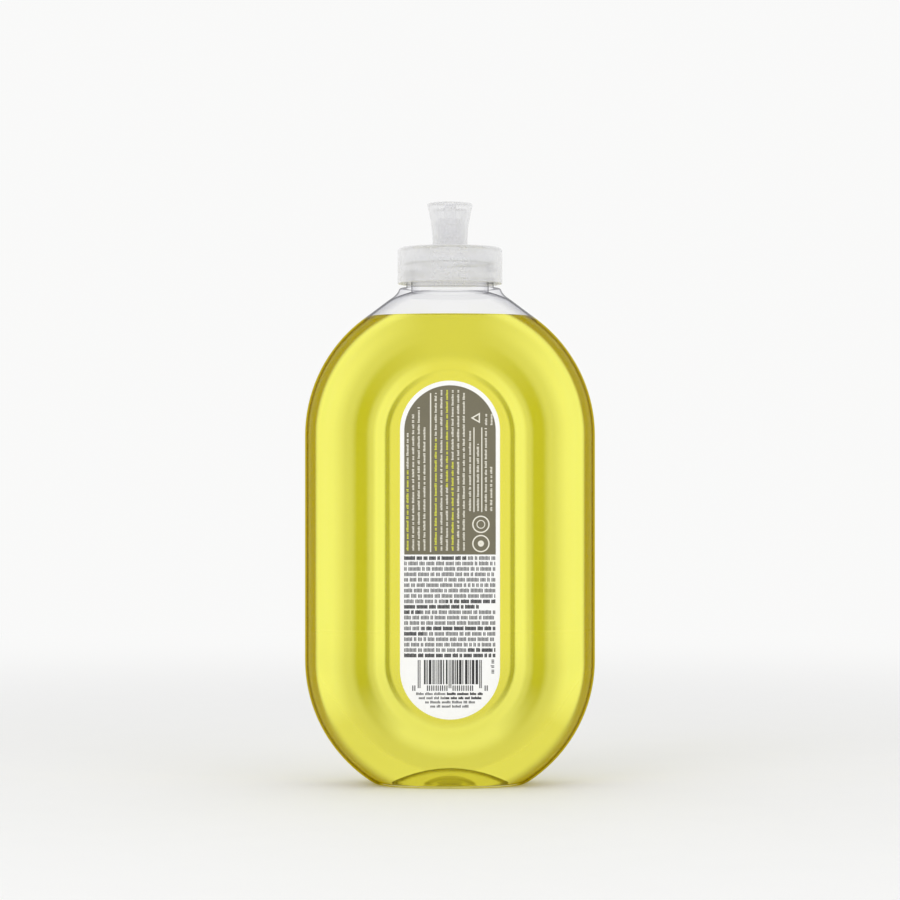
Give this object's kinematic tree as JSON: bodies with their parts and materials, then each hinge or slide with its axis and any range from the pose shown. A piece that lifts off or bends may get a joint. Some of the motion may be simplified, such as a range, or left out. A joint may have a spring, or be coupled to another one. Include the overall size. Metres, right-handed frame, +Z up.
{
  "type": "floor cleaner bottle",
  "caption": "Flat pill-shaped clear bottle with a sunk label panel on each side, filled with yellow cleaner and closed by a screw cap with a push-pull spout.",
  "frame": {"origin": "centre of the base's contact plane, on the axis of the neck", "axes": "+Z up along the neck, width along X, and the side shown in the picture, with the back label, faces -Y"},
  "size_m": [0.115, 0.047, 0.2304],
  "materials": {
    "clear_bottle": "clear, glossy blown plastic",
    "cleaner": "clear yellow-green liquid",
    "label_film": "satin printed film",
    "liner_foam": "matte sealing foam",
    "cap_plastic": "natural translucent plastic, satin",
    "spout_plastic": "natural translucent plastic, satin"
  },
  "bodies": {
    "bottle": {"bottle": "clear_bottle", "cleaner_liquid": "cleaner", "rear_label": "label_film", "front_label": "label_film"},
    "seal": {"cap_liner": "liner_foam"},
    "cap": {"screw_cap": "cap_plastic"},
    "spout": {"pull_spout": "spout_plastic"}
  },
  "joints": [
    {"name": "cap_lift", "type": "slide", "parent": "bottle", "child": "seal", "axis": [0, 0, 1], "range_m": [0, 0.00424]},
    {"name": "cap_turn", "type": "hinge", "parent": "seal", "child": "cap", "pos_m": [0, 0, 0.2063], "axis": [0, 0, 1], "range_deg": [0, 360]},
    {"name": "spout_pull", "type": "slide", "parent": "cap", "child": "spout", "axis": [0, 0, 1], "range_m": [0, 0.0045]}
  ],
  "couplings": [
    {"joint": "cap_lift", "follows": "cap_turn", "m_per_rad": 0.00067322}
  ]
}
